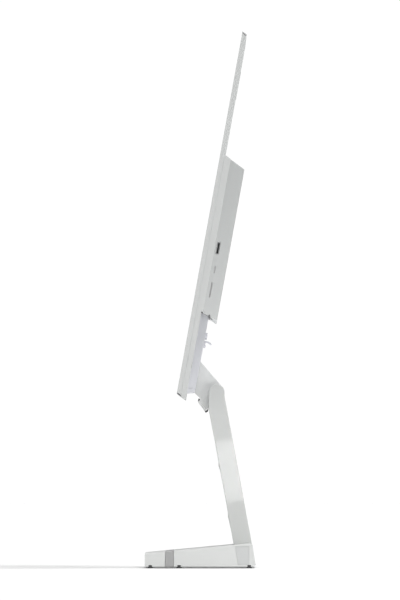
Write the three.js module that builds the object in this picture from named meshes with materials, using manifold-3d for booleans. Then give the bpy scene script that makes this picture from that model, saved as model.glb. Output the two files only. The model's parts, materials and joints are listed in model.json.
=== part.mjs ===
// A slim 24-inch-class all-in-one computer: a leaning display with the computer behind it,
// a hinge at the knee of a bent arm, and a wedge base.
// Millimetres, +Z up. The screen faces -Y and +X is the user's right.
// The origin is on the desk, under the middle of the base.
import * as THREE from "three";
import { mergeVertices } from "three/addons/utils/BufferGeometryUtils.js";
import Module from "manifold-3d";

const wasm = await Module();
wasm.setup();

// ---------------------------------------------------------------- driving dimensions

const GAP = 0.3; // space kept between neighbouring pieces
const WALL = 1.8; // plastic shells
const ARC_STEPS = 8; // segments of each rounded stretch

const LEAN = THREE.MathUtils.degToRad(10.3); // how far the display leans back as it stands

// The base, a wedge that rises to the rear.
const BASE = { half: 120, front: -49.7, rim: 1.4, frontTop: 13, rise: 0.0945, wall: 2.6, round: 1.2 };
const PLATE = { low: 0.5, lip: 1.1, top: 2.2, inset: 1 };
const FOOT = { length: 4.4, width: 8, height: 2.6, rows: [-44.6, -18.9, 43.6] };
const BAND = { front: -31, rear: -24, depth: 1.5 };
const BLOCK = { front: 31.2, rear: 43.4, low: 3.2, top: 19.4 };
const SCREW = { y: 38.4, head: 3, shank: 1.5, top: 26 };
const REAR_STRIP = 1.4; // thickness of the strip behind the base

// The arm. Its edges are smooth curves through these points, [y, z].
const NECK = { half: 55, cheek: 6, low: 20, wall: 2.5, crotch: 131 };
const NECK_FRONT = [[30, NECK.low], [22.6, 61.8], [13.6, 109.6], [7.5, 142]];
const NECK_BACK = [[21.8, 153.6], [29.8, 109.6], [38.7, 61.8], [46.6, NECK.low]];
const PIVOT = { y: 14.7, z: 157.2 }; // the tilt axis, along X
const KNUCKLE = 7.1;
const PIN = { radius: 2.5, inner: 30, outer: 53 };

// The display, in its own frame: y back from the screen's front face, z up along the screen.
const ORIGIN = { y: -20.8, z: 155.7 }; // its front bottom edge, in the object's frame
const WIDE = 270; // half its width
const TALL = 325;
const THIN = 4.2; // the display tray
const RAKE = 0.5; // how far its ends run down per millimetre back
const TOP_STRIP = 1.3; // the strips along its top and bottom ends
const BOTTOM_STRIP = 0.7;
const MID = { front: THIN + GAP, back: 10, lowBack: 8.6, top: 215 };
const BUMP = { front: 10.3, back: 23.5, low: 74.7, wide: 267, wideBack: 257, rake: 0.51, lowRake: 0.38 };
const SEAL_HALF = 261;
const IO = { half: 170, back: 15.5, low: 6.7 };
const CHIN = 22; // top of the bar under the screen
const HEAD = { half: 44, wall: 1.8 };
const LOWER_RAKE = 0.3;

// Connectors along the rear cover's side: their openings, [low, high] along z and y.
const SIDE_PORT = { z: [127.4, 138], y: [11.7, 14.4] };
const LOCK_SLOT = { z: [110.7, 116.5], y: [12.9, 14] };
const CARD_SLIT = { z: [88.7, 101.9], y: [12.8, 13.8] };

// Connectors under the rear cover, which open downwards.
const PORT_BAY = { front: 17.6, back: 21.3, mouth: 72, depth: 12 };
const REAR_PORTS = {
  hdmi_port: { x: -52, wide: 15, tongue: 1.2 },
  usb_port_rear_left: { x: -26, wide: 13.4, tongue: 1.6 },
  usb_port_rear_right: { x: -4, wide: 13.4, tongue: 1.6 },
  lan_port: { x: 22, wide: 15.6, tongue: 1.4 },
};

// The camera slides up out of a slot in the top edge.
const CAMERA = { half: 26, wing: 30, low: 285, wingTop: 305.3, front: 1.8, back: 3.2, lens: 1.7, lensZ: 318.5 };
const BUTTON = { x0: 234, x1: 247, z0: 24, z1: 30 };
const IO_SCREW = { xs: [-150, 150], z: 55.5, head: 2.3, shank: 1.2 };
const BRACKET = { x0: 26, x1: 42 };
const SPEAKER = { x0: 178, x1: 222, low: 16, high: 62, slots: 8 };
const DC_JACK = { x: -78, y: 19.45 };
const FAN = { x: -120, z: 146, radius: 33, front: 11.4, back: 20.2, hub: 13, blades: 17 };

// ---------------------------------------------------------------- materials

const look = (color, roughness, metalness) => new THREE.MeshStandardMaterial({ color, roughness, metalness });
const WHITE = look(0xd9dbda, 0.45, 0);
const COVER_GREY = look(0xc4c7c6, 0.5, 0);
const COOL_GREY = look(0xc6c7cc, 0.45, 0);
const BAND_GREY = look(0x9b9d9d, 0.4, 0.3);
const DARK = look(0x4a4c4d, 0.6, 0);
const RUBBER = look(0x2b2c2d, 0.85, 0);
const GLASS = look(0x0a0b0d, 0.08, 0);
const STEEL = look(0xa9adb0, 0.35, 1);
const ALUMINIUM = look(0xc3c6c8, 0.4, 1);
const BOARD = look(0x1d5a38, 0.6, 0);

// ---------------------------------------------------------------- solids

// A closed geometry as a manifold-3d solid.
function solid(geometry) {
  const bare = geometry.clone();
  bare.deleteAttribute("normal");
  bare.deleteAttribute("uv");
  const merged = mergeVertices(bare, 1e-4);
  return new wasm.Manifold(
    new wasm.Mesh({
      numProp: 3,
      vertProperties: merged.attributes.position.array,
      triVerts: new Uint32Array(merged.index.array),
    }),
  );
}

function box([x0, y0, z0], [x1, y1, z1]) {
  const g = new THREE.BoxGeometry(x1 - x0, y1 - y0, z1 - z0);
  g.translate((x0 + x1) / 2, (y0 + y1) / 2, (z0 + z1) / 2);
  return solid(g);
}

const shapeOf = (outline) =>
  outline instanceof THREE.Shape ? outline : new THREE.Shape(outline.map(([a, b]) => new THREE.Vector2(a, b)));

const extrusion = (outline, depth, curveSegments = ARC_STEPS) =>
  new THREE.ExtrudeGeometry(shapeOf(outline), { depth, bevelEnabled: false, curveSegments });

const X = new THREE.Vector3(1, 0, 0);
const Y = new THREE.Vector3(0, 1, 0);
const Z = new THREE.Vector3(0, 0, 1);

// An outline of [y, z] points, extruded from x0 to x1.
function alongX(outline, x0, x1) {
  const g = extrusion(outline, x1 - x0).applyMatrix4(new THREE.Matrix4().makeBasis(Y, Z, X));
  return solid(g.translate(x0, 0, 0));
}

// An outline of [x, z] points, extruded from y0 to y1.
function alongY(outline, y0, y1) {
  const g = extrusion(outline, y1 - y0).applyMatrix4(new THREE.Matrix4().makeBasis(X, Z, Y.clone().negate()));
  return solid(g.translate(0, y1, 0));
}

// An outline of [x, y] points, extruded from z0 to z1.
const alongZ = (outline, z0, z1, steps) => solid(extrusion(outline, z1 - z0, steps).translate(0, 0, z0));

// A round rod along X at [y, z].
function rodX(radius, x0, x1, y, z, sides = 24) {
  const g = new THREE.CylinderGeometry(radius, radius, x1 - x0, sides).rotateZ(Math.PI / 2);
  return solid(g.translate((x0 + x1) / 2, y, z));
}

// A round rod along Y at [x, z].
function rodY(radius, y0, y1, x, z, sides = 24) {
  return solid(new THREE.CylinderGeometry(radius, radius, y1 - y0, sides).translate(x, (y0 + y1) / 2, z));
}

// A round rod along Z at [x, y].
function rodZ(radius, z0, z1, x, y, sides = 20) {
  const g = new THREE.CylinderGeometry(radius, radius, z1 - z0, sides).rotateX(Math.PI / 2);
  return solid(g.translate(x, y, (z0 + z1) / 2));
}

const mirrored = (body) => body.mirror([1, 0, 0]);
const joined = (bodies) => bodies.reduce((a, b) => a.add(b));

// Adds a solid to a group as a named mesh.
function piece(group, name, body, material) {
  const made = body.getMesh();
  const g = new THREE.BufferGeometry();
  g.setAttribute("position", new THREE.BufferAttribute(new Float32Array(made.vertProperties), 3));
  g.setIndex(new THREE.BufferAttribute(new Uint32Array(made.triVerts), 1));
  g.computeVertexNormals();
  const mesh = new THREE.Mesh(g, material);
  mesh.name = name;
  group.add(mesh);
}

// A piece and its mirror image.
function pair(group, name, body, material) {
  piece(group, name + "_right", body, material);
  piece(group, name + "_left", mirrored(body), material);
}

const smooth = (points) => points.slice(1).map(([a, b]) => new THREE.Vector2(a, b));

// ---------------------------------------------------------------- the base

const baseTop = (y) => BASE.frontTop + (y - BASE.front) * BASE.rise;
// The arm's back line, carried down to the desk behind the base.
const backLine = (z) => 50.106 - 0.169 * z;

// The base's side outline, taken in by a distance, from a lowest height.
function baseOutline(inset, low) {
  const front = BASE.front + inset;
  const top = (y) => baseTop(y) - inset;
  const rear = (z) => backLine(z) - REAR_STRIP - GAP - inset;
  const corner = rear(top(45));
  const round = Math.max(BASE.round - inset, 0.2);
  const s = new THREE.Shape();
  s.moveTo(front, low);
  s.lineTo(front, top(front) - round);
  s.quadraticCurveTo(front, top(front), front + round, top(front + round));
  s.lineTo(corner, top(corner));
  s.lineTo(rear(low), low);
  return s;
}

// A rectangle with round corners.
function roundedRect(x0, y0, x1, y1, r) {
  const s = new THREE.Shape();
  s.moveTo(x0 + r, y0);
  s.lineTo(x1 - r, y0);
  s.absarc(x1 - r, y0 + r, r, -Math.PI / 2, 0, false);
  s.lineTo(x1, y1 - r);
  s.absarc(x1 - r, y1 - r, r, 0, Math.PI / 2, false);
  s.lineTo(x0 + r, y1);
  s.absarc(x0 + r, y1 - r, r, Math.PI / 2, Math.PI, false);
  s.lineTo(x0, y0 + r);
  s.absarc(x0 + r, y0 + r, r, Math.PI, Math.PI * 1.5, false);
  return s;
}

// The band's front and rear faces lean a little, like the front of the arm.
const bandOutline = (grow) => [
  [BAND.front - 0.5 - grow, 0],
  [BAND.rear + grow, 0],
  [BAND.rear + 0.4 + grow, 30],
  [BAND.front + 0.5 - grow, 30],
];

const blockOutline = (grow) => [
  [BLOCK.front + 2.6 - grow, BLOCK.low - grow],
  [BLOCK.rear + grow, BLOCK.low - grow],
  [BLOCK.rear + grow, BLOCK.top + grow],
  [BLOCK.front - grow, BLOCK.top + grow],
];

// The six feet's places, [x of the middle, y of the middle].
const footX = BASE.half - FOOT.width / 2 - 0.3;
const feet = [];
for (const y of FOOT.rows) feet.push([footX, y], [-footX, y]);

function footBody([x, y], grow, top) {
  const w = FOOT.width / 2 + grow;
  const l = FOOT.length / 2 + grow;
  return alongZ(roundedRect(x - w, y - l, x + w, y + l, 1), 0, top, 3);
}

const screwPlaces = [-40, 40];

function buildBase(stand) {
  const outer = alongX(baseOutline(0, BASE.rim), -BASE.half, BASE.half);
  const inner = alongX(baseOutline(BASE.wall, 0), -BASE.half + BASE.wall, BASE.half - BASE.wall);
  const armHole = box([-NECK.half - GAP, NECK_FRONT[0][0] - 0.9, 12], [NECK.half + GAP, 60, 40]);

  // The shell is open underneath. It has a groove for the band, windows for the block's ends, a hole
  // for the arm and notches for the feet.
  let shell = outer.subtract(inner);
  const grooveDepth = BAND.depth + GAP;
  const grooveCore = alongX(baseOutline(grooveDepth, -5), -BASE.half + grooveDepth, BASE.half - grooveDepth);
  const groove = alongX(bandOutline(GAP), -BASE.half - 1, BASE.half + 1).subtract(grooveCore);
  shell = shell.subtract(groove);
  shell = shell.subtract(alongX(blockOutline(GAP), -BASE.half - 1, BASE.half + 1));
  shell = shell.subtract(armHole);
  for (const place of feet) shell = shell.subtract(footBody(place, GAP, FOOT.height + GAP));
  piece(stand, "base_shell", shell, WHITE);

  const core = alongX(baseOutline(BAND.depth, -5), -BASE.half + BAND.depth, BASE.half - BAND.depth);
  const band = outer.subtract(core).intersect(alongX(bandOutline(0), -BASE.half - 1, BASE.half + 1));
  piece(stand, "base_band", band, BAND_GREY);

  // The bottom plate: a lip under the shell's rim and a step that fits inside it.
  const lip = alongX(baseOutline(PLATE.inset, PLATE.low), -BASE.half + PLATE.inset, BASE.half - PLATE.inset);
  const stepInset = BASE.wall + GAP;
  const step = alongX(baseOutline(stepInset, PLATE.low), -BASE.half + stepInset, BASE.half - stepInset);
  let plate = lip
    .intersect(box([-200, -60, 0], [200, 60, PLATE.lip]))
    .add(step.intersect(box([-200, -60, 0], [200, 60, PLATE.top])));
  for (const place of feet) plate = plate.subtract(footBody(place, GAP, FOOT.height + GAP));
  for (const x of screwPlaces) plate = plate.subtract(rodZ(SCREW.head + GAP, 0, 3, x, SCREW.y));
  piece(stand, "base_bottom_plate", plate, DARK);

  piece(stand, "base_weight", box([-100, -42, 3.4], [100, 26, 8.6]), STEEL);

  // The strip behind the base follows the arm's back line.
  const strip = alongX(
    [
      [backLine(2.4) - REAR_STRIP, 2.4],
      [backLine(2.4), 2.4],
      [backLine(21.2), 21.2],
      [backLine(21.2) - REAR_STRIP, 21.2],
    ],
    -BASE.half,
    BASE.half,
  ).subtract(box([-NECK.half - GAP, 30, NECK.low - GAP], [NECK.half + GAP, 60, 40]));
  piece(stand, "base_rear_strip", strip, COVER_GREY);

  // The block that the arm stands on. Its ends show in the sides of the base.
  let block = alongX(blockOutline(0), -BASE.half + 0.3, BASE.half - 0.3);
  for (const x of screwPlaces) block = block.subtract(rodZ(SCREW.shank + GAP, 0, 30, x, SCREW.y));
  piece(stand, "neck_mount_block", block, COVER_GREY);

  feet.forEach((place, i) => {
    const row = ["front", "middle", "rear"][Math.floor(i / 2)];
    const side = place[0] > 0 ? "right" : "left";
    piece(stand, `foot_${row}_${side}`, footBody(place, 0, FOOT.height), RUBBER);
  });

  screwPlaces.forEach((x, i) => {
    const screw = rodZ(SCREW.head, 0.8, 2.6, x, SCREW.y).add(rodZ(SCREW.shank, 2, SCREW.top, x, SCREW.y));
    piece(stand, `base_screw_${i + 1}`, screw, STEEL);
  });
}

// ---------------------------------------------------------------- the arm

// The arm's side outline, with the round knuckle about the tilt axis.
function neckOutline() {
  const s = new THREE.Shape();
  s.moveTo(...NECK_FRONT[0]);
  s.splineThru(smooth(NECK_FRONT));
  s.lineTo(PIVOT.y - KNUCKLE, PIVOT.z);
  s.absarc(PIVOT.y, PIVOT.z, KNUCKLE, Math.PI, 0, true);
  s.lineTo(...NECK_BACK[0]);
  s.splineThru(smooth(NECK_BACK));
  return s;
}

// A wall that follows one edge of the arm, from the first point to the last.
function edgeWall(points, offset0, offset1) {
  const edge = new THREE.SplineCurve(points.map(([a, b]) => new THREE.Vector2(a, b))).getPoints(ARC_STEPS);
  const side = (offset) => edge.map((p) => [p.x + offset, p.y]);
  return [...side(offset0), ...side(offset1).reverse()];
}

function buildNeck(stand) {
  const inside = NECK.half - NECK.cheek;
  const sweep = rodX(KNUCKLE + 0.5, -inside, inside, PIVOT.y, PIVOT.z, 48);

  // The shell: two cheeks joined by a front wall, which ends under the hinge head's travel.
  const cheek = alongX(neckOutline(), inside, NECK.half).subtract(
    rodX(PIN.radius + GAP, inside - 1, PIN.outer + GAP, PIVOT.y, PIVOT.z),
  );
  const front = alongX(edgeWall(NECK_FRONT, 0, NECK.wall), -inside - 0.5, inside + 0.5).intersect(
    box([-60, -20, 0], [60, 60, NECK.crotch]),
  );
  piece(stand, "neck_shell", joined([cheek, mirrored(cheek), front]), WHITE);

  const rearCover = alongX(edgeWall(NECK_BACK, -2, 0), -inside + GAP, inside - GAP).subtract(sweep);
  piece(stand, "neck_rear_cover", rearCover, WHITE);

  // The steel bracket inside: a cross web and two side plates that carry the pins.
  const steel = 3;
  const sideIn = inside - GAP - steel;
  const spineFront = NECK_FRONT.map(([y, z]) => [y + NECK.wall + 3, z]);
  spineFront[0][1] = NECK.low + 0.2;
  const web = alongX(edgeWall(spineFront, 0, 2.5), -sideIn - 0.5, sideIn + 0.5).intersect(
    box([-60, -20, 0], [60, 60, NECK.crotch - 4]),
  );
  const foot = box([-sideIn - 0.5, 33.5, NECK.low], [sideIn + 0.5, 42.5, NECK.low + 3]);
  const sideOutline = new THREE.Shape();
  sideOutline.moveTo(33.5, NECK.low);
  sideOutline.lineTo(PIVOT.y - 4, PIVOT.z - 16);
  sideOutline.lineTo(PIVOT.y - 4.6, PIVOT.z);
  sideOutline.absarc(PIVOT.y, PIVOT.z, 4.6, Math.PI, 0, true);
  sideOutline.lineTo(20.4, PIVOT.z - 22);
  sideOutline.lineTo(42.5, NECK.low);
  const side = alongX(sideOutline, sideIn, inside - GAP);
  let bracket = joined([web, foot, side, mirrored(side)]);
  bracket = bracket.subtract(rodX(PIN.radius + GAP, -60, 60, PIVOT.y, PIVOT.z));
  for (const x of screwPlaces) bracket = bracket.subtract(rodZ(SCREW.shank + GAP, 0, 30, x, SCREW.y));
  piece(stand, "neck_bracket", bracket, STEEL);

  pair(stand, "tilt_pin", rodX(PIN.radius, PIN.inner, PIN.outer, PIVOT.y, PIVOT.z), STEEL);
  const washer = rodX(5.2, HEAD.half + GAP, HEAD.half + GAP + 0.8, PIVOT.y, PIVOT.z).subtract(
    rodX(PIN.radius + GAP, 0, 60, PIVOT.y, PIVOT.z),
  );
  pair(stand, "hinge_washer", washer, STEEL);
}

// ---------------------------------------------------------------- the display

// The tilt axis in the display's own frame.
const hingeAt = (() => {
  const dy = PIVOT.y - ORIGIN.y;
  const dz = PIVOT.z - ORIGIN.z;
  return {
    y: dy * Math.cos(LEAN) - dz * Math.sin(LEAN),
    z: dy * Math.sin(LEAN) + dz * Math.cos(LEAN),
  };
})();

const trayTop = (y) => TALL - RAKE * y;
const trayLow = (y) => -RAKE * y;
const bumpTop = (y) => MID.top - BUMP.rake * (y - MID.front);
const bumpLow = (y) => BUMP.low - BUMP.lowRake * (y - 9.5);

// A sloped slab between two height rules, from y0 to y1.
const slab = (low, high, y0, y1) => [
  [y0, low(y0)],
  [y1, low(y1)],
  [y1, high(y1)],
  [y0, high(y0)],
];

function buildScreen(display) {
  const low = (y) => trayLow(y) + BOTTOM_STRIP + GAP;
  const high = (y) => trayTop(y) - TOP_STRIP - GAP;
  const slot = box(
    [-CAMERA.half - GAP, CAMERA.front - GAP, 315],
    [CAMERA.half + GAP, CAMERA.back + GAP, 340],
  );

  // The tray behind the screen, open to the front, with a low pad on its back behind the camera.
  const pocket = box([-WIDE + WALL, -1, 2.2], [WIDE - WALL, THIN - 0.7, TALL - 3.4]);
  const pad = box([-32, THIN - 0.2, 270], [32, THIN + 0.5, 294]);
  const tray = alongX(slab(low, high, 0, THIN), -WIDE, WIDE).subtract(pocket).add(pad).subtract(slot);
  piece(display, "display_tray", tray, WHITE);

  const topStrip = alongX(slab((y) => trayTop(y) - TOP_STRIP, trayTop, 0, THIN), -WIDE, WIDE);
  piece(display, "top_edge_strip", topStrip.subtract(slot), DARK);
  const bottomStrip = alongX(slab(trayLow, (y) => trayLow(y) + BOTTOM_STRIP, 0, THIN), -WIDE, WIDE);
  piece(display, "bottom_edge_strip", bottomStrip, DARK);

  const side = WIDE - WALL - GAP;
  const top = TALL - 3.4 - GAP;
  piece(display, "front_glass", box([-side, 0.15, CHIN + GAP], [side, 0.65, top]), GLASS);
  piece(display, "backlight_module", box([-side, 0.95, CHIN + GAP], [side, 1.5, top]), ALUMINIUM);
  piece(display, "chin_bar", box([-side, 0, 2.2 + GAP], [side, 2.8, CHIN]), WHITE);
}

// The camera, with wings low on its sides that stop it in the slot, and its lens.
function buildCamera(display) {
  const { half, wing, low, wingTop, front, back, lens, lensZ } = CAMERA;
  const body = alongX(slab(() => low, (y) => trayTop(y) - 0.1, front, back), -half, half);
  const wings = box([-wing, front, low], [wing, back, wingTop]);
  const seat = rodY(lens + GAP, front - 1, front + 0.9, 0, lensZ, 28);
  piece(display, "camera_body", body.add(wings).subtract(seat), DARK);
  piece(display, "camera_lens", rodY(lens, front - 0.05, front + 0.6, 0, lensZ, 28), GLASS);
}

// The middle housing: full width, its back open where the deeper covers sit.
function buildMidHousing(display) {
  const profile = [
    [MID.front, trayLow(MID.front)],
    [MID.lowBack, trayLow(MID.lowBack)],
    [MID.lowBack, bumpLow(MID.lowBack) + 0.2],
    [MID.back, bumpLow(MID.back) + 0.2],
    [MID.back, bumpTop(MID.back)],
    [MID.front, bumpTop(MID.front)],
  ];
  let mid = alongX(profile, -WIDE, WIDE);
  mid = mid.subtract(box([-WIDE + WALL, 0, 1], [WIDE - WALL, MID.lowBack - 1.2, 208]));
  mid = mid.subtract(box([-256, 0, 80], [256, 20, 204]));
  mid = mid.subtract(box([-IO.half + 8, 0, 12], [IO.half - 8, 20, 69]));
  const { x0, x1, z0, z1 } = BUTTON;
  mid = mid.subtract(alongY(roundedRect(x0 - GAP, z0 - GAP, x1 + GAP, z1 + GAP, 2.5), 0, 20));
  for (let i = 0; i < SPEAKER.slots; i++) {
    const z = SPEAKER.low + 4 + i * 5;
    const slot = box([SPEAKER.x0 + 6, 7, z], [SPEAKER.x1 - 6, 9, z + 1.6]);
    mid = mid.subtract(slot).subtract(mirrored(slot));
  }
  piece(display, "mid_housing", mid, WHITE);
}

// The rear cover over the computer. Its sides draw in towards the back.
function buildRearCover(display) {
  const draft = (inset, y0, y1) => {
    const wide = (y) => {
      const share = (y - BUMP.front) / (BUMP.back - BUMP.front);
      return BUMP.wide + (BUMP.wideBack - BUMP.wide) * share - inset;
    };
    return alongZ([[-wide(y0), y0], [wide(y0), y0], [wide(y1), y1], [-wide(y1), y1]], 0, 300);
  };
  const body = alongX(slab(bumpLow, bumpTop, BUMP.front, BUMP.back), -WIDE, WIDE).intersect(
    draft(0, BUMP.front, BUMP.back),
  );
  const hollow = alongX(
    slab((y) => bumpLow(y) + WALL + 0.2, (y) => bumpTop(y) - WALL, BUMP.front - 2, BUMP.back - WALL),
    -WIDE,
    WIDE,
  ).intersect(draft(WALL + 0.4, BUMP.front - 2, BUMP.back - WALL));
  let cover = body.subtract(hollow);
  // The slots for warm air along the top, and for cool air low in the back.
  for (let i = -17; i <= 17; i++) {
    cover = cover.subtract(box([i * 8 - 2.6, 13, 190], [i * 8 + 2.6, 16.5, 230]));
  }
  for (let i = 0; i < 5; i++) {
    const z = 92 + i * 7;
    for (const x of [-150, -90, -30, 30, 90]) {
      cover = cover.subtract(box([x + 4, BUMP.back - 4, z], [x + 56, BUMP.back + 1, z + 2.6]));
    }
  }
  // The openings for the connectors, in the side and underneath.
  for (const { z, y } of [SIDE_PORT, LOCK_SLOT, CARD_SLIT]) {
    cover = cover.subtract(box([240, y[0], z[0]], [280, y[1], z[1]]));
  }
  const bayFront = PORT_BAY.front - GAP;
  const bayBack = PORT_BAY.back + GAP;
  for (const { x, wide } of Object.values(REAR_PORTS)) {
    const reach = wide / 2 + GAP;
    cover = cover.subtract(box([x - reach, bayFront, 60], [x + reach, bayBack, 78]));
  }
  const { x: jackX, y: jackY } = DC_JACK;
  const jackHole = box([jackX - 5, bayFront, 60], [jackX + 5, bayBack, 78]);
  cover = cover.subtract(rodZ(3.2, 60, 78, jackX, jackY, 24).intersect(jackHole));
  // The groove for the seal, which runs out through both sides.
  const groove = alongX(slab((y) => bumpLow(y) - 1, (y) => bumpLow(y) + 1.4, 15.3, 17), -WIDE, WIDE);
  piece(display, "rear_cover", cover.subtract(groove), COVER_GREY);

  const seal = alongX(slab(bumpLow, (y) => bumpLow(y) + 1.1, 15.6, 16.7), -SEAL_HALF, SEAL_HALF);
  piece(display, "port_bay_seal", seal, RUBBER);
}

// The connector cover, a shallow shell under the rear cover, with what is fixed to it.
function buildConnectorCover(display) {
  const ioTop = (y) => bumpLow(y) - GAP;
  const ioBody = alongX(slab(() => IO.low, ioTop, MID.lowBack + GAP, IO.back), -IO.half, IO.half);
  const ioHollow = alongX(
    slab(() => IO.low + WALL, (y) => ioTop(y) - WALL, MID.lowBack - 1, IO.back - WALL),
    -IO.half + WALL,
    IO.half - WALL,
  );
  let io = ioBody.subtract(ioHollow);
  for (const x of IO_SCREW.xs) io = io.subtract(rodY(IO_SCREW.shank + GAP, 10, 20, x, IO_SCREW.z, 16));
  // Where the hinge brackets bolt through to the chassis.
  io = io.subtract(box([-BRACKET.x1 - 1, 12, 8.6], [-BRACKET.x0 + 1, 20, 26]));
  io = io.subtract(box([BRACKET.x0 - 1, 12, 8.6], [BRACKET.x1 + 1, 20, 26]));
  piece(display, "connector_cover", io, COOL_GREY);

  const strip = alongX(
    slab((y) => 2 + LOWER_RAKE * (y - MID.lowBack - GAP), () => IO.low - GAP, MID.lowBack + GAP, IO.back),
    -IO.half,
    IO.half,
  );
  piece(display, "connector_cover_strip", strip, COOL_GREY);

  const head = rodY(IO_SCREW.head, IO.back + 0.1, IO.back + 1.9, IO_SCREW.xs[1], IO_SCREW.z, 20);
  const shank = rodY(IO_SCREW.shank, 10, IO.back + 1, IO_SCREW.xs[1], IO_SCREW.z, 16);
  pair(display, "cover_screw", head.add(shank), STEEL);

  piece(display, "cable_clip", cableClip(), COOL_GREY);
}

// A hook that stands off the connector cover, open at its lower side.
function cableClip() {
  const root = IO.back + 0.2;
  const s = new THREE.Shape();
  s.moveTo(root, 49.6);
  s.lineTo(root, 51.4);
  s.lineTo(root + 2.2, 51.4);
  s.quadraticCurveTo(root + 6.4, 51.2, root + 7, 48.6);
  s.lineTo(root + 5.6, 48.2);
  s.quadraticCurveTo(root + 5, 49.8, root + 1.4, 49.8);
  s.lineTo(root + 1.2, 47.8);
  s.lineTo(root + 2.2, 46.8);
  s.lineTo(root + 1.6, 45);
  s.lineTo(root, 45);
  return alongX(s, -7, 7);
}

function buildButton(display) {
  const { x0, x1, z0, z1 } = BUTTON;
  const cap = alongY(roundedRect(x0, z0, x1, z1, 2.4), 6.2, MID.lowBack + 0.4);
  const flange = box([x0 - 1.5, 5.9, z0 - 1.5], [x1 + 1.5, 7.1, z1 + 1.5]);
  piece(display, "power_button", cap.add(flange), COVER_GREY);
}

// ---------------------------------------------------------------- the computer inside

function buildComputer(display) {
  // The chassis plate behind the screen, with a rib round the hinge's bolts.
  const plate = box([-254, 5, 78], [254, 6.2, 204]);
  const tongue = box([-100, 5, 14], [100, 6.2, 80]);
  const ribs = box([-60, 6, 16], [60, 8.4, 30]);
  const posts = [];
  for (const x of [-60, 144]) {
    for (const z of [93, 194]) posts.push(rodY(3, 6, 8.6 - GAP, x, z, 16));
  }
  piece(display, "chassis", joined([plate, tongue, ribs, ...posts]), STEEL);

  const board = box([-66, 8.6, 87], [150, 10.1, 200]);
  const chips = [
    box([2, 10, 134], [40, 11.2, 172]),
    box([70, 10, 104], [92, 11.4, 126]),
    box([50, 10, 140], [58, 13.2, 180]),
    box([-20, 10, 160], [-12, 12.6, 178]),
    box([-10, 10, 184], [60, 13, 192]),
    box([108, 10, 186], [146, 14.4, 194]),
    box([-60, 10, 92], [-50, 14, 116]),
  ];
  piece(display, "motherboard", joined([board, ...chips]), BOARD);

  const ram = box([68, 11.8, 150], [138, 15, 180]);
  piece(display, "memory_module", ram, BOARD);
  piece(display, "solid_state_drive", box([-44, 10.6, 108], [36, 13, 130]), BOARD);
  piece(display, "wireless_card", box([104, 10.6, 96], [134, 12.8, 118]), STEEL);

  // The heat sink: fins beside the blower, a pipe, and a plate on the processor.
  const fins = [box([-112, 12, 185.5], [-64, 13.2, 202])];
  for (let x = -112; x <= -65; x += 4) fins.push(box([x, 13, 185.5], [x + 0.9, 20, 202]));
  const pipe = box([-76, 11.6, 150], [-70, 14.2, 190]).add(box([-76, 11.6, 150], [10, 14.2, 156]));
  const cold = box([2, 11.5, 136], [38, 15, 170]);
  piece(display, "heat_sink", joined([...fins, pipe, cold]), ALUMINIUM);

  const { x, z, radius, front, back, hub, blades } = FAN;
  const half = radius + 4;
  const casing = alongY(roundedRect(x - half, z - half, x + half, z + half, 10), front - 1.2, back + 0.6);
  const bore = rodY(radius + 1, front - 0.2, back + 2, x, z, 48);
  const outlet = box([x + 8, front - 0.2, z + radius - 6], [x + half + 2, back - 0.6, z + half + 2]);
  const post = rodY(2, front - 0.4, back - 3, x, z, 20);
  piece(display, "fan_housing", casing.subtract(bore).subtract(outlet).add(post), DARK);

  // The impeller turns on the post: a capped hub with swept blades.
  const rotor = [rodY(hub, front + 1, back - 0.4, x, z, 40)];
  for (let i = 0; i < blades; i++) {
    const blade = box([hub - 1, front + 1.2, -0.5], [radius - 0.6, back - 0.8, 0.5]).rotate([0, 12, 0]);
    rotor.push(blade.translate([0, 0, 3]).rotate([0, (360 / blades) * i, 0]).translate([x, 0, z]));
  }
  piece(display, "fan_impeller", joined(rotor).subtract(rodY(2 + GAP, front - 2, back - 2.6, x, z, 20)), DARK);

  pair(display, "speaker", box([SPEAKER.x0, 5, SPEAKER.low], [SPEAKER.x1, 7.1, SPEAKER.high]), DARK);
}

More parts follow.
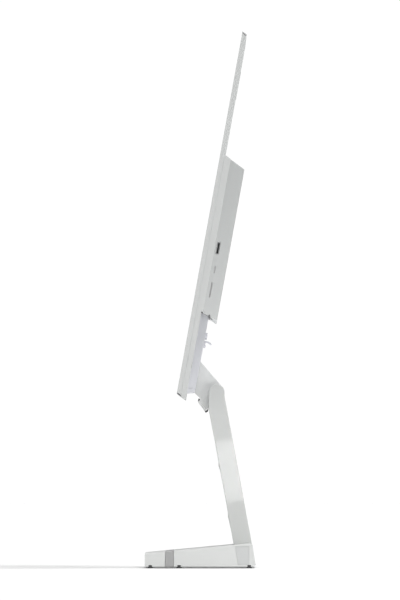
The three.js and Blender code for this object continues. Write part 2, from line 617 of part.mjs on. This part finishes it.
function buildPorts(display) {
  // A data port, a lock plate and a card reader behind the openings in the side.
  const room = (opening, inset, x0, x1) =>
    box([x0, opening.y[0] + inset, opening.z[0] + inset], [x1, opening.y[1] - inset, opening.z[1] - inset]);
  const tongue = box([250, 12.85, SIDE_PORT.z[0] + 2], [262.4, 13.25, SIDE_PORT.z[1] - 2]);
  const port = room(SIDE_PORT, GAP, 244, 263.8).subtract(room(SIDE_PORT, GAP + 0.3, 252, 270));
  piece(display, "usb_port_side", port.add(tongue), STEEL);
  const lock = room(LOCK_SLOT, -2, 250, 257.5).subtract(room(LOCK_SLOT, 0, 253, 260));
  piece(display, "lock_slot_plate", lock, STEEL);
  const reader = room(CARD_SLIT, -1.5, 236, 257.5).subtract(room(CARD_SLIT, 0.1, 242, 260));
  piece(display, "card_reader", reader, DARK);

  // The connectors underneath: each a metal shell with a tongue inside.
  const { front, back, mouth, depth } = PORT_BAY;
  const middle = (front + back) / 2;
  for (const [name, { x, wide, tongue: thick }] of Object.entries(REAR_PORTS)) {
    const block = (half, y0, y1, z0, z1) => box([x - half, y0, z0], [x + half, y1, z1]);
    const shell = block(wide / 2, front, back, mouth, mouth + depth);
    const inside = block(wide / 2 - 0.5, front + 0.5, back - 0.5, mouth - 1, mouth + depth - 2);
    const blade = block(wide / 2 - 1.6, middle - thick / 2, middle + thick / 2, mouth + 1.5, mouth + depth - 1);
    piece(display, name, shell.subtract(inside).add(blade), STEEL);
  }

  // The power inlet: a round socket with a centre pin.
  const { x: jackX, y: jackY } = DC_JACK;
  const barrel = rodZ(2.9, mouth, 77, jackX, jackY, 24).intersect(
    box([jackX - 5, 17.6, 60], [jackX + 5, 21.3, 90]),
  );
  const jack = box([jackX - 5, 17.6, 75.4], [jackX + 5, 21.3, 86])
    .add(barrel)
    .subtract(rodZ(1.5, mouth - 1, 83, jackX, jackY, 20))
    .add(rodZ(0.5, mouth + 1.2, 84, jackX, jackY, 12));
  piece(display, "power_inlet", jack, DARK);
}

// ---------------------------------------------------------------- the hinge head

const HEAD_PLATE = [
  [19.6, -3.9],
  [28.4, -12.1],
  [30.1, -10.5],
  [30.1, -8.2],
  [28.7, -8.2],
  [28.7, -10.2],
  [21, -3.1],
  [21, -0.7],
  [19.6, -0.7],
];

// The head's side outline: down the back slope, round the tilt axis, and back under the display.
function headOutline() {
  const radius = KNUCKLE - 0.1;
  const s = new THREE.Shape();
  s.moveTo(IO.back + GAP, 3.6);
  s.lineTo(IO.back + GAP, 32.3);
  const slope = Math.atan2(20, 24.9); // the fall of the back slope
  const start = Math.PI / 2 - slope;
  const end = THREE.MathUtils.degToRad(-130);
  s.absarc(hingeAt.y, hingeAt.z, radius, start, end, true);
  s.lineTo(30.1, -7.9);
  s.lineTo(28.4, -7.9);
  s.lineTo(28.4, -9.5);
  s.lineTo(21.3, -2.9);
  s.lineTo(21.3, -0.4);
  s.lineTo(20, 0.6);
  return s;
}

function buildHead(display) {
  const { y, z } = hingeAt;
  // The room inside, open towards the display.
  const room = [
    [10, 6.2],
    [21.2, 2.6],
    [28, -5.6],
    [29.4, -5.6],
    [31, z - 5],
    [y + 3.4, z - 5],
    [y + 5.4, z],
    [y + 2.4, z + 4.8],
    [IO.back + GAP + 1, 28.8],
    [10, 28.8],
  ];
  const wall = HEAD.half - HEAD.wall;
  const cover = alongX(headOutline(), -HEAD.half, HEAD.half)
    .subtract(alongX(room, -wall, wall))
    .subtract(rodX(PIN.radius + GAP, -60, 60, y, z));
  piece(display, "head_cover", cover, WHITE);
  piece(display, "head_bottom_plate", alongX(HEAD_PLATE, -HEAD.half, HEAD.half), DARK);

  // Steel brackets: an eye on the tilt pin, and an arm bolted to the chassis.
  const eye = rodX(4.4, BRACKET.x0, BRACKET.x1, y, z, 32);
  const arm = alongX(
    [
      [8.7, 10.6],
      [22, 8.8],
      [y - 2.5, z - 3.2],
      [y - 1, z + 3.8],
      [20, 22],
      [8.7, 25],
    ],
    BRACKET.x0,
    BRACKET.x1,
  );
  const bracket = eye.add(arm).subtract(rodX(PIN.radius + GAP, PIN.inner - 2, 60, y, z));
  pair(display, "tilt_bracket", bracket, STEEL);
}

// ---------------------------------------------------------------- the whole object

const computer = new THREE.Group();
const stand = new THREE.Group();
buildBase(stand);
buildNeck(stand);
computer.add(stand);

const display = new THREE.Group();
display.position.set(0, ORIGIN.y, ORIGIN.z);
display.rotation.x = -LEAN;
buildScreen(display);
buildCamera(display);
buildMidHousing(display);
buildRearCover(display);
buildConnectorCover(display);
buildButton(display);
buildComputer(display);
buildPorts(display);
buildHead(display);
computer.add(display);

export default computer;
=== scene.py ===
"""Looks, light and camera for the slim all-in-one computer."""

import json
import math

import bmesh
import bpy
from mathutils import Matrix, Vector

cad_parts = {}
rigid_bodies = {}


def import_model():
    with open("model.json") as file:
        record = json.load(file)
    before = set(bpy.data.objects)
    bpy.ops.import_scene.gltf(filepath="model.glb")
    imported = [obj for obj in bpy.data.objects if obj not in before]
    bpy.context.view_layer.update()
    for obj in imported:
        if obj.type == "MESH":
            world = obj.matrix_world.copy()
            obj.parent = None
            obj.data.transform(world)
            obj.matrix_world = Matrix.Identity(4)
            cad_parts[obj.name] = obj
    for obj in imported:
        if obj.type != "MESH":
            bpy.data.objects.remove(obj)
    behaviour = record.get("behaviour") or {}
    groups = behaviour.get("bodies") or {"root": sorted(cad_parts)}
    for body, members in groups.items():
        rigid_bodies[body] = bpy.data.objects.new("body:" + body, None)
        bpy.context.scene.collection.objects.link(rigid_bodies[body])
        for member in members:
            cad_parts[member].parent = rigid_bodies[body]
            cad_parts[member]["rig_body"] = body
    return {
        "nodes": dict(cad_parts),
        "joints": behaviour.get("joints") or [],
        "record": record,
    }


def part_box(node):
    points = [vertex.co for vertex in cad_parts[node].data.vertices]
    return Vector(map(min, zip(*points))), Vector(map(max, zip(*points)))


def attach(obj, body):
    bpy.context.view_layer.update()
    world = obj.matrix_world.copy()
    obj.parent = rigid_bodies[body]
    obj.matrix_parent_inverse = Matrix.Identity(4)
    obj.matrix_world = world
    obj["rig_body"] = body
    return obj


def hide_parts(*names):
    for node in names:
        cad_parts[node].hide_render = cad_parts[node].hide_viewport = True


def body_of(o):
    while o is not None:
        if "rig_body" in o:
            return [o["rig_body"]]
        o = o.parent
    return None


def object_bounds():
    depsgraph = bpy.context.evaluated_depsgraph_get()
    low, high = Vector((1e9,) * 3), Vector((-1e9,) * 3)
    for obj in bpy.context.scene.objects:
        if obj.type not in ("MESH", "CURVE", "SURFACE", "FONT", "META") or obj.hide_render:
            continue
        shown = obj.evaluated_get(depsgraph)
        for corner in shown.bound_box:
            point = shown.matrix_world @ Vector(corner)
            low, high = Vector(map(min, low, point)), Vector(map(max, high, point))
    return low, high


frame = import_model()
cad_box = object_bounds()
nodes = frame["nodes"]
joints = {j["name"]: j for j in frame["joints"]}
slots = {entry["node"]: entry["material_slot"] for entry in frame["record"]["subparts"]}

MM = 0.001


# ---------------------------------------------------------------- materials

GLOSS_WEAR = 0.06  # how far the roughness strays either way
LEAST_ROUGH = 0.03
GRAIN_HEIGHT = 0.05 * MM


def add_node(tree, kind, **sockets):
    """A shader node with some of its inputs set."""
    node = tree.nodes.new(kind)
    for name, value in sockets.items():
        node.inputs[name].default_value = value
    return node


def moulded(
    name,
    colour,
    rough=0.45,
    grain=0.35 * MM,
    bump=0.12,
    mottle=0.02,
    metal=0.0,
    coat=0.0,
):
    """Moulded plastic or metal: a fine grain, faint cloudiness, and slight wear in the gloss."""
    mat = bpy.data.materials.new(name)
    mat.use_nodes = True
    tree = mat.node_tree
    link = tree.links.new
    shader = tree.nodes["Principled BSDF"]
    shader.inputs["Metallic"].default_value = metal
    shader.inputs["Coat Weight"].default_value = coat
    place = tree.nodes.new("ShaderNodeTexCoord")

    cloud = add_node(tree, "ShaderNodeTexNoise", Scale=18.0, Detail=3.0, Roughness=0.55)
    link(place.outputs["Object"], cloud.inputs["Vector"])
    tint = tree.nodes.new("ShaderNodeValToRGB")
    tint.color_ramp.elements[0].position = 0.3
    tint.color_ramp.elements[1].position = 0.7
    tint.color_ramp.elements[0].color = [c * (1 - mottle) for c in colour] + [1]
    tint.color_ramp.elements[1].color = [min(c * (1 + mottle), 1) for c in colour] + [1]
    link(cloud.outputs["Fac"], tint.inputs["Fac"])
    link(tint.outputs["Color"], shader.inputs["Base Color"])

    fine = add_node(tree, "ShaderNodeTexNoise", Scale=1 / grain, Detail=2.0, Roughness=0.6)
    link(place.outputs["Object"], fine.inputs["Vector"])
    sheen = tree.nodes.new("ShaderNodeMapRange")
    sheen.inputs["To Min"].default_value = max(rough - GLOSS_WEAR, LEAST_ROUGH)
    sheen.inputs["To Max"].default_value = rough + GLOSS_WEAR
    link(fine.outputs["Fac"], sheen.inputs["Value"])
    link(sheen.outputs["Result"], shader.inputs["Roughness"])
    raised = add_node(tree, "ShaderNodeBump", Strength=bump, Distance=GRAIN_HEIGHT)
    link(fine.outputs["Fac"], raised.inputs["Height"])
    link(raised.outputs["Normal"], shader.inputs["Normal"])
    return mat


WHITE = moulded("white_plastic", (0.512, 0.522, 0.517))
PEARL = moulded("pearl_white", (0.605, 0.615, 0.605), rough=0.38, coat=0.15)
GREY = moulded("grey_plastic", (0.385, 0.395, 0.392))
COOL = moulded("cool_grey_plastic", (0.64, 0.645, 0.68))
# Painted light: white plastic made lighter for the hinge head and its plate, to offset the shade
# from the arm's cheeks and the display above.
PAINTED_LIGHT_HEAD = moulded("head_white_painted_light", (0.68, 0.69, 0.68))
# Painted light: a lighter copy of the rear cover's grey for its lower end, to offset the shade that
# falls there.
PAINTED_LIGHT_UNDERSIDE = moulded("painted_light_underside", (0.86, 0.87, 0.86), rough=0.6)
BLOCK = moulded("block_white", (0.52, 0.53, 0.525), rough=0.42)
EDGE = moulded("edge_grey", (0.38, 0.38, 0.385))
# Painted light: the plate under the base is a light grey, to offset the shade in the narrow gap
# above the floor.
PAINTED_LIGHT_PLATE = moulded("plate_grey_painted_light", (0.60, 0.605, 0.60), rough=0.6)
BAND = moulded("band_grey", (0.36, 0.36, 0.36), rough=0.35, metal=0.2)
DARK = moulded("dark_plastic", (0.06, 0.06, 0.062), rough=0.5)
# Painted light: a light grey behind the card slot and the lock slot, to offset the shade inside
# these openings.
PAINTED_LIGHT_SLOT_GREY = moulded("slot_grey_painted_light", (0.55, 0.55, 0.55), rough=0.5)
ARM = moulded("arm_white", (0.52, 0.53, 0.52), rough=0.38, coat=0.15)
SHADE = moulded("shade_grey", (0.16, 0.16, 0.165), rough=0.5)
RUBBER = moulded("rubber", (0.05, 0.05, 0.052), rough=0.8, bump=0.4)
STEEL = moulded("steel", (0.55, 0.56, 0.57), rough=0.3, metal=1.0)
SHIELD = moulded("shield_metal", (0.12, 0.12, 0.125), rough=0.6, metal=0.6)
ALUMINIUM = moulded("aluminium", (0.75, 0.76, 0.77), rough=0.35, metal=1.0)
BOARD = moulded("circuit_board", (0.02, 0.11, 0.05), rough=0.5)
GLASS = moulded("screen_glass", (0.004, 0.004, 0.005), rough=0.12, bump=0.0)
PANEL = moulded("picture_area", (0.012, 0.012, 0.015), rough=0.3, grain=0.0004, bump=0.02)
GOLD = moulded("contact_gold", (0.80, 0.58, 0.25), rough=0.3, metal=1.0, grain=0.0001, bump=0.05)
BY_SLOT = {
    "white_plastic": WHITE,
    "grey_plastic": GREY,
    "cool_grey_plastic": COOL,
    "band_grey": BAND,
    "dark_plastic": DARK,
    "rubber": RUBBER,
    "steel": STEEL,
    "aluminium": ALUMINIUM,
    "circuit_board": BOARD,
    "screen_glass": GLASS,
}
SPECIAL = {
    "wireless_card": SHIELD,
    "base_shell": PEARL,
    "neck_shell": ARM,
    "neck_rear_cover": ARM,
    "neck_mount_block": BLOCK,
    "base_rear_strip": PEARL,
    "base_bottom_plate": PAINTED_LIGHT_PLATE,
    "head_cover": PAINTED_LIGHT_HEAD,
    "head_bottom_plate": PAINTED_LIGHT_HEAD,
    "top_edge_strip": EDGE,
    "bottom_edge_strip": SHADE,
    "port_bay_seal": SHADE,
    "cover_screw_right": COOL,
    "cover_screw_left": COOL,
    "card_reader": PAINTED_LIGHT_SLOT_GREY,
    "lock_slot_plate": PAINTED_LIGHT_SLOT_GREY,
}
for name, slot in slots.items():
    nodes[name].data.materials.clear()
    nodes[name].data.materials.append(SPECIAL.get(name, BY_SLOT[slot]))


def own_material(node):
    """The material that a CAD node was given."""
    return nodes[node].data.materials[0]


# ---------------------------------------------------------------- working on meshes

SEAM = 0.25 * MM  # how far a piece grows to close most of the gap to its neighbour
SINK = 0.7 * MM  # how far a cover's rim reaches into the shell that it stands on
SAME_PLACE = 0.02 * MM  # vertices this close along an axis lie on one flat end
SAME_VERTEX = 0.002 * MM
FLAT = math.radians(0.6)  # neighbouring faces that bend less than this are joined up
SHARP = math.radians(32)  # edges that bend more than this are rounded off
COVER_SLOPE = 0.38  # how far the rear cover's lower end runs down per metre back

X = Vector((1, 0, 0))
Z = Vector((0, 0, 1))
UP = Vector(joints["camera_slide"]["axis"]).normalized()  # along the screen
BACK = -Vector(joints["power_button_press"]["axis"]).normalized()  # square to the screen
COVER_END = (UP + COVER_SLOPE * BACK).normalized()  # square to the lower end of the rear cover


def reach(node, axis):
    """A node's lowest and highest place along an axis."""
    along = [axis.dot(v.co) for v in nodes[node].data.vertices]
    return min(along), max(along)


def middle_of(node):
    """The middle of a node's box."""
    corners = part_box(node)
    return (Vector(corners[0]) + Vector(corners[1])) / 2


def stretch(bm, axis, amount, at=None):
    """Move one flat end of a mesh along an axis: its high end for a positive amount, its low end
    for a negative one, or the flat place at a given reach."""
    along = [axis.dot(v.co) for v in bm.verts]
    edge = at if at is not None else (max(along) if amount > 0 else min(along))
    for v in bm.verts:
        if abs(axis.dot(v.co) - edge) < SAME_PLACE:
            v.co += axis * amount


def swell(bm, middle, amount):
    """Push a mesh's sides out from a line along X."""
    for v in bm.verts:
        for i in (1, 2):
            v.co[i] += math.copysign(amount, v.co[i] - middle[i])


def whole_faces(node):
    """A CAD node's mesh in bmesh form, with its flat faces joined up."""
    bm = bmesh.new()
    bm.from_mesh(nodes[node].data)
    bmesh.ops.remove_doubles(bm, verts=bm.verts, dist=SAME_VERTEX)
    bmesh.ops.dissolve_limit(bm, angle_limit=FLAT, verts=bm.verts, edges=bm.edges)
    return bm


def finished(node, bm, materials, bevel=0.25, segments=2):
    """Make a piece of a mesh that stands for a CAD node, with edges rounded by a width in mm."""
    mesh = bpy.data.meshes.new(node + "_finish")
    for face in bm.faces:
        face.smooth = True
    bm.to_mesh(mesh)
    bm.free()
    mesh.set_sharp_from_angle(angle=SHARP)
    for material in materials:
        mesh.materials.append(material)
    piece = bpy.data.objects.new(node + "_finish", mesh)
    bpy.context.scene.collection.objects.link(piece)
    if bevel:
        round_off = piece.modifiers.new("round_off", "BEVEL")
        round_off.width = bevel * MM
        round_off.segments = segments
        round_off.limit_method = "ANGLE"
        round_off.angle_limit = SHARP
        round_off.use_clamp_overlap = False
        round_off.harden_normals = True
    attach(piece, body_of(nodes[node])[0])
    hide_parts(node)
    return piece


def eased(node, bevel=0.25, segments=2, moves=()):
    """A finished copy of a CAD piece, with seams closed by moving its ends."""
    bm = whole_faces(node)
    for move in moves:
        stretch(bm, *move)
    return finished(node, bm, [own_material(node)], bevel, segments)


def bars(name, places, half, rides_on, material):
    """Several small bars with eased ends, as one mesh. A half size lies along X, BACK and UP."""
    bm = bmesh.new()
    turn = Matrix((X, BACK, UP)).transposed().to_4x4()
    size = Matrix.Diagonal((*[2 * h for h in half], 1.0))
    for place in places:
        bmesh.ops.create_cube(bm, size=1.0, matrix=Matrix.Translation(place) @ turn @ size)
    bmesh.ops.bevel(bm, geom=bm.edges[:], offset=0.25 * min(half), segments=1, affect="EDGES")
    mesh = bpy.data.meshes.new(name)
    bm.to_mesh(mesh)
    bm.free()
    mesh.materials.append(material)
    piece = bpy.data.objects.new(name, mesh)
    bpy.context.scene.collection.objects.link(piece)
    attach(piece, rides_on)


CROSS_BREADTH = 0.22  # of a cross recess's arms, as a share of its width
CROSS_TAPER = 0.6  # how much narrower the recess is at its bottom


def crossed(node, out, width, depth, material):
    """A finished screw with a cross recess in its head, which faces out."""
    piece = finished(node, whole_faces(node), [material], 0.2, 2)
    top = middle_of(node)
    top += out * (reach(node, out)[1] - out.dot(top))
    turn = out.to_track_quat("Z", "Y").to_matrix().to_4x4()
    cross = bmesh.new()
    narrow = CROSS_BREADTH * width
    for length, breadth in ((width, narrow), (narrow, width)):
        size = Matrix.Diagonal((length, breadth, 2 * depth, 1.0))
        arm = bmesh.ops.create_cube(cross, size=1.0, matrix=size)
        for v in arm["verts"]:
            if v.co.z < 0:
                v.co.xy *= CROSS_TAPER
    cross.transform(Matrix.Translation(top) @ turn)
    cutter_mesh = bpy.data.meshes.new("cross")
    cross.to_mesh(cutter_mesh)
    cross.free()
    cutter = bpy.data.objects.new("cross", cutter_mesh)
    bpy.context.scene.collection.objects.link(cutter)
    recess = piece.modifiers.new("recess", "BOOLEAN")
    recess.object = cutter
    recess.use_self = True
    bpy.context.view_layer.update()
    shaped = piece.evaluated_get(bpy.context.evaluated_depsgraph_get())
    shaped_mesh = bpy.data.meshes.new_from_object(shaped)
    piece.modifiers.clear()
    piece.data = shaped_mesh
    bpy.data.objects.remove(cutter)


# ---------------------------------------------------------------- the display

LOWER_END = 0.9  # how squarely a face looks down the cover to be its lower end
SEAL_REACH = 1.4 * MM  # how much longer the seal is at each end
GROMMETS = (2 * MM, 1.6 * MM)  # the dark tips of the plate under the head, upper and lower
GROMMET_FACES = 1.5 * MM  # a face whose middle is this near an end belongs to a tip
PLATE_FALL = 1.08  # how far the plate under the head runs down per metre back
PLATE_REACH = 5 * MM  # how far the plates behind the side openings go out
PLATE_STEPS = {"lock_slot_plate": 3 * MM, "card_reader": 6 * MM}  # from its inner end
BORDER = 3 * MM  # round the picture area
PORT_RIM = 0.2 * MM  # depth of the side port's bright rim


def finish_rear_cover():
    """The rear cover, whose lower end gets a lighter grey than its side as painted light, so the
    shaded end looks less dark.
    """
    cover = whole_faces("rear_cover")
    stretch(cover, BACK, -SINK)
    cover.normal_update()
    for face in cover.faces:
        # Faces that look down the cover take the lighter copy: painted light on the shaded lower
        # end.
        face.material_index = 1 if face.normal.dot(COVER_END) < -LOWER_END else 0
    finished("rear_cover", cover, [own_material("rear_cover"), PAINTED_LIGHT_UNDERSIDE], 0.2)


def finish_shells():
    """The display's shells, which meet each other almost without a gap."""
    eased("display_tray", 0.15)
    eased("mid_housing", 0.15, moves=[(BACK, -SEAM)])
    finish_rear_cover()
    eased("connector_cover", 0.2, moves=[(BACK, -SINK), (COVER_END, SEAM)])
    eased("connector_cover_strip", 0.15, moves=[(BACK, -SINK), (UP, SEAM)])
    eased("port_bay_seal", 0.1, moves=[(X, SEAL_REACH), (X, -SEAL_REACH)])
    eased("cable_clip", 0.25)
    eased("top_edge_strip", 0.15)
    eased("bottom_edge_strip", 0.12)
    eased("head_cover", 0.3, 3, moves=[(BACK, -SEAM)])


def finish_head_plate():
    """The plate under the hinge head, with a dark grommet at each end."""
    plate = whole_faces("head_bottom_plate")
    fall = (BACK - PLATE_FALL * UP).normalized()
    upper, lower = reach("head_bottom_plate", fall)
    for cut in (upper + GROMMETS[0], lower - GROMMETS[1]):
        whole = plate.verts[:] + plate.edges[:] + plate.faces[:]
        bmesh.ops.bisect_plane(plate, geom=whole, plane_co=fall * cut, plane_no=fall)
    for face in plate.faces:
        along = fall.dot(face.calc_center_median())
        if min(along - upper, lower - along) < GROMMET_FACES:
            face.material_index = 1
    finished("head_bottom_plate", plate, [PAINTED_LIGHT_HEAD, DARK], 0.2)


def finish_opening_plates():
    """The plates behind two side openings, brought out into the cover's wall."""
    wall_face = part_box("usb_port_side")[1][0]
    for node, step in PLATE_STEPS.items():
        step_at = reach(node, X)[0] + step
        eased(node, 0.0, moves=[(X, PLATE_REACH), (X, wall_face - step_at, step_at)])


def finish_screen():
    """The front glass, with a black border round the picture area."""
    screen = whole_faces("front_glass")
    front = min(screen.faces, key=lambda face: BACK.dot(face.calc_center_median()))
    bmesh.ops.inset_region(screen, faces=[front], thickness=BORDER)
    front.material_index = 1
    finished("front_glass", screen, [GLASS, PANEL], 0.1)


def finish_side_port():
    """The side port: a bright steel rim round a socket whose inner faces are all dark, its dark
    tongue as well as painted shade on the steel walls inside.
    """
    port = whole_faces("usb_port_side")
    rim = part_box("usb_port_side")[1][0] - PORT_RIM
    for face in port.faces:
        # Faces behind the rim are dark: the tongue's own colour, and painted shade on the inner
        # steel.
        face.material_index = 0 if face.calc_center_median().x > rim else 1
    finished("usb_port_side", port, [STEEL, DARK], 0.0)


finish_shells()
finish_head_plate()
finish_opening_plates()
finish_screen()
eased("chin_bar", 0.3)
eased("power_button", 0.3, 3)
eased("camera_body", 0.15)
eased("camera_lens", 0.1)
finish_side_port()


# ---------------------------------------------------------------- connectors and screws

CONTACTS = {"hdmi_port": 9, "usb_port_rear_left": 4, "usb_port_rear_right": 4, "lan_port": 8}
SHELL_ENDS = 1.5 * MM  # faces nearer than this to a socket's ends are its metal shell
SHELL_SIDES = 0.9 * MM  # and nearer than this to its front and back
FIRST_CONTACT = 2.5 * MM  # from a socket's end
CONTACT_HEIGHT = 5 * MM  # of a contact's middle, above the socket's mouth
CONTACT_HALF = (0.12 * MM, 2.5 * MM)  # half a contact's thickness and length
TONGUE_OFFSET = 0.6 * MM  # from a socket's middle to the front of its tongue
CONTACT_OFFSET = 0.2 * MM  # and on to the middle of a contact
JACK_PIN = 0.8 * MM  # faces this near the middle of the power inlet are its pin
COVER_CROSS = (2.6 * MM, 0.8 * MM)  # width and depth of a screw's cross recess
BASE_CROSS = (3.6 * MM, 1.0 * MM)


def finish_socket(name, contacts):
    """A socket under the rear cover: a metal shell, a dark tongue and gilt contacts."""
    socket = whole_faces(name)
    (left, right), (front, back), (mouth, _) = (reach(name, axis) for axis in (X, BACK, UP))
    for face in socket.faces:
        centre = face.calc_center_median()
        depth = BACK.dot(centre)
        inner_x = min(centre.x - left, right - centre.x) > SHELL_ENDS
        inner_y = min(depth - front, back - depth) > SHELL_SIDES
        face.material_index = 1 if inner_x and inner_y else 0
    finished(name, socket, [STEEL, DARK], 0.08)
    line = BACK * ((front + back) / 2 - TONGUE_OFFSET - CONTACT_OFFSET)
    line += UP * (mouth + CONTACT_HEIGHT)
    pitch = (right - left - 2 * FIRST_CONTACT) / (contacts - 1)
    row = [X * (left + FIRST_CONTACT + i * pitch) + line for i in range(contacts)]
    bars(name + "_contacts", row, (0.25 * pitch, *CONTACT_HALF), "display", GOLD)


def finish_power_inlet():
    """The power inlet, with a steel pin in its middle."""
    jack = whole_faces("power_inlet")
    middle_x, middle_depth = (sum(reach("power_inlet", axis)) / 2 for axis in (X, BACK))
    for face in jack.faces:
        centre = face.calc_center_median()
        off = math.hypot(centre.x - middle_x, BACK.dot(centre) - middle_depth)
        face.material_index = 1 if off < JACK_PIN else 0
    finished("power_inlet", jack, [DARK, STEEL], 0.1)


for name, contacts in CONTACTS.items():
    finish_socket(name, contacts)
finish_power_inlet()
for side in ("right", "left"):
    crossed("cover_screw_" + side, BACK, *COVER_CROSS, COOL)
for index in (1, 2):
    crossed(f"base_screw_{index}", -Z, *BASE_CROSS, STEEL)


# ---------------------------------------------------------------- the stand


def finish_rear_strip():
    """The strip behind the base, with its sloped face towards the base moved to close the seam."""
    strip = whole_faces("base_rear_strip")
    bottom, top = reach("base_rear_strip", Z)
    lower = [v.co for v in strip.verts if v.co.z < bottom + SAME_PLACE]
    upper = [v.co for v in strip.verts if v.co.z > top - SAME_PLACE]
    slope = max(lower, key=lambda place: place.y) - max(upper, key=lambda place: place.y)
    stretch(strip, X.cross(slope).normalized(), -SEAM)
    finished("base_rear_strip", strip, [PEARL], 0.15)


def finish_block():
    """The end of the block that the arm stands on."""
    block = whole_faces("neck_mount_block")
    swell(block, middle_of("neck_mount_block"), SEAM)
    finished("neck_mount_block", block, [own_material("neck_mount_block")], 0.1)


# Unclamped, the base's rounding runs past its front and rear ends by about a millimetre.
eased("base_shell", 0.3).modifiers["round_off"].use_clamp_overlap = True
eased("base_band", 0.15)
finish_rear_strip()
eased("base_bottom_plate", 0.15)
eased("neck_shell", 0.6, 3)
eased("neck_rear_cover", 0.3)
finish_block()
for row in ("front", "middle", "rear"):
    for side in ("right", "left"):
        eased(f"foot_{row}_{side}", 0.4)


# ---------------------------------------------------------------- floor and light

FLOOR_GAP = 0.1 * MM  # under the feet

low, high = Vector(cad_box[0]), Vector(cad_box[1])
middle = (low + high) / 2


def aimed(light, place, aim):
    """Put a light at a place, facing a point."""
    holder = bpy.data.objects.new(light.name, light)
    holder.location = place
    holder.rotation_euler = (Vector(aim) - Vector(place)).to_track_quat("-Z", "Y").to_euler()
    bpy.context.scene.collection.objects.link(holder)


def emitter(name, size, place, aim, power):
    """A soft square light that faces a point."""
    light = bpy.data.lights.new(name, "AREA")
    light.energy = power
    light.size = size
    aimed(light, place, aim)


def overhead_sun(strength, softness, to_rear, to_side):
    """A broad sun overhead that leans to the rear and to the pictured side, in degrees."""
    light = bpy.data.lights.new("overhead", "SUN")
    light.energy = strength
    light.angle = math.radians(softness)
    holder = bpy.data.objects.new("overhead", light)
    holder.rotation_euler = (math.radians(-to_rear), math.radians(to_side), 0)
    bpy.context.scene.collection.objects.link(holder)


def pool(name, place, aim, power, width, softness):
    """A narrow soft-edged pool of light round a point, with its width in degrees."""
    light = bpy.data.lights.new(name, "SPOT")
    light.energy = power
    light.spot_size = math.radians(width)
    light.spot_blend = 1.0
    light.shadow_soft_size = softness
    aimed(light, place, aim)


def white_world(shown, front, rear):
    """Soft light all round, weaker from behind, with a plain white backdrop behind the object."""
    world = bpy.data.worlds.new("studio")
    world.use_nodes = True
    bpy.context.scene.world = world
    tree = world.node_tree
    link = tree.links.new
    lit = tree.nodes["Background"]
    lit.inputs["Color"].default_value = (1, 1, 1, 1)
    place = tree.nodes.new("ShaderNodeTexCoord")
    split = tree.nodes.new("ShaderNodeSeparateXYZ")
    strengths = {"From Min": -1.0, "To Min": front, "To Max": rear}
    share = add_node(tree, "ShaderNodeMapRange", **strengths)
    link(place.outputs["Generated"], split.inputs["Vector"])
    link(split.outputs["Y"], share.inputs["Value"])
    link(share.outputs["Result"], lit.inputs["Strength"])
    seen = add_node(tree, "ShaderNodeBackground", Color=(1, 1, 1, 1), Strength=shown)
    rays = tree.nodes.new("ShaderNodeLightPath")
    mix = tree.nodes.new("ShaderNodeMixShader")
    link(rays.outputs["Is Camera Ray"], mix.inputs["Fac"])
    link(lit.outputs["Background"], mix.inputs[1])
    link(seen.outputs["Background"], mix.inputs[2])
    link(mix.outputs["Shader"], tree.nodes["World Output"].inputs["Surface"])


white_world(1.02, 0.85, 0.3)

bpy.ops.mesh.primitive_plane_add(size=30, location=(0, 0, low.z - FLOOR_GAP))
floor = bpy.context.object
floor.name = "floor"
paper = moulded("paper", (0.74, 0.74, 0.74), rough=0.9, mottle=0.005, bump=0.02)
floor.data.materials.append(paper)

overhead_sun(3.0, 60, 24, 10)
emitter("front_fill", 1.6, (1.2, -2.2, 0.9), middle, 12)
emitter("low_rear_fill", 0.12, (0.36, 0.32, 0.12), (0.26, 0.0, 0.23), 0.35)
# The middle of the arm is brighter than its ends.
pool("arm_pool", (1.6, 0.03, 0.084), (0.055, 0.031, 0.084), 0.95, 3.8, 0.03)


# ---------------------------------------------------------------- camera

VIEW_HEIGHT = 0.531  # metres of object that fill the frame's height
LENS = 1100.0  # long, for a side view with little perspective
SENSOR = 36.0
SIDE = 0.24  # the plane beside the object's middle where VIEW_HEIGHT holds
EYE_HEIGHT = 0.12  # low, to share the perspective between the base's top and the covers' undersides
AIM_FORWARD = 0.24 * MM  # of the object's middle
AIM_HEIGHT = 0.2383  # above the desk

camera_data = bpy.data.cameras.new("camera")
camera_data.lens = LENS
camera_data.sensor_fit = "VERTICAL"
camera_data.sensor_height = SENSOR
camera_data.clip_end = 100
camera = bpy.data.objects.new("camera", camera_data)
bpy.context.scene.collection.objects.link(camera)
target = Vector((middle.x + SIDE, middle.y - AIM_FORWARD, low.z + AIM_HEIGHT))
camera.location = (LENS / SENSOR * VIEW_HEIGHT + SIDE, target.y, EYE_HEIGHT)
sight = target - camera.location
camera.rotation_euler = sight.to_track_quat("-Z", "Y").to_euler()
bpy.context.scene.camera = camera

bpy.context.scene.view_settings.view_transform = "Standard"
bpy.context.scene.view_settings.look = "None"

bpy.context.view_layer.update()
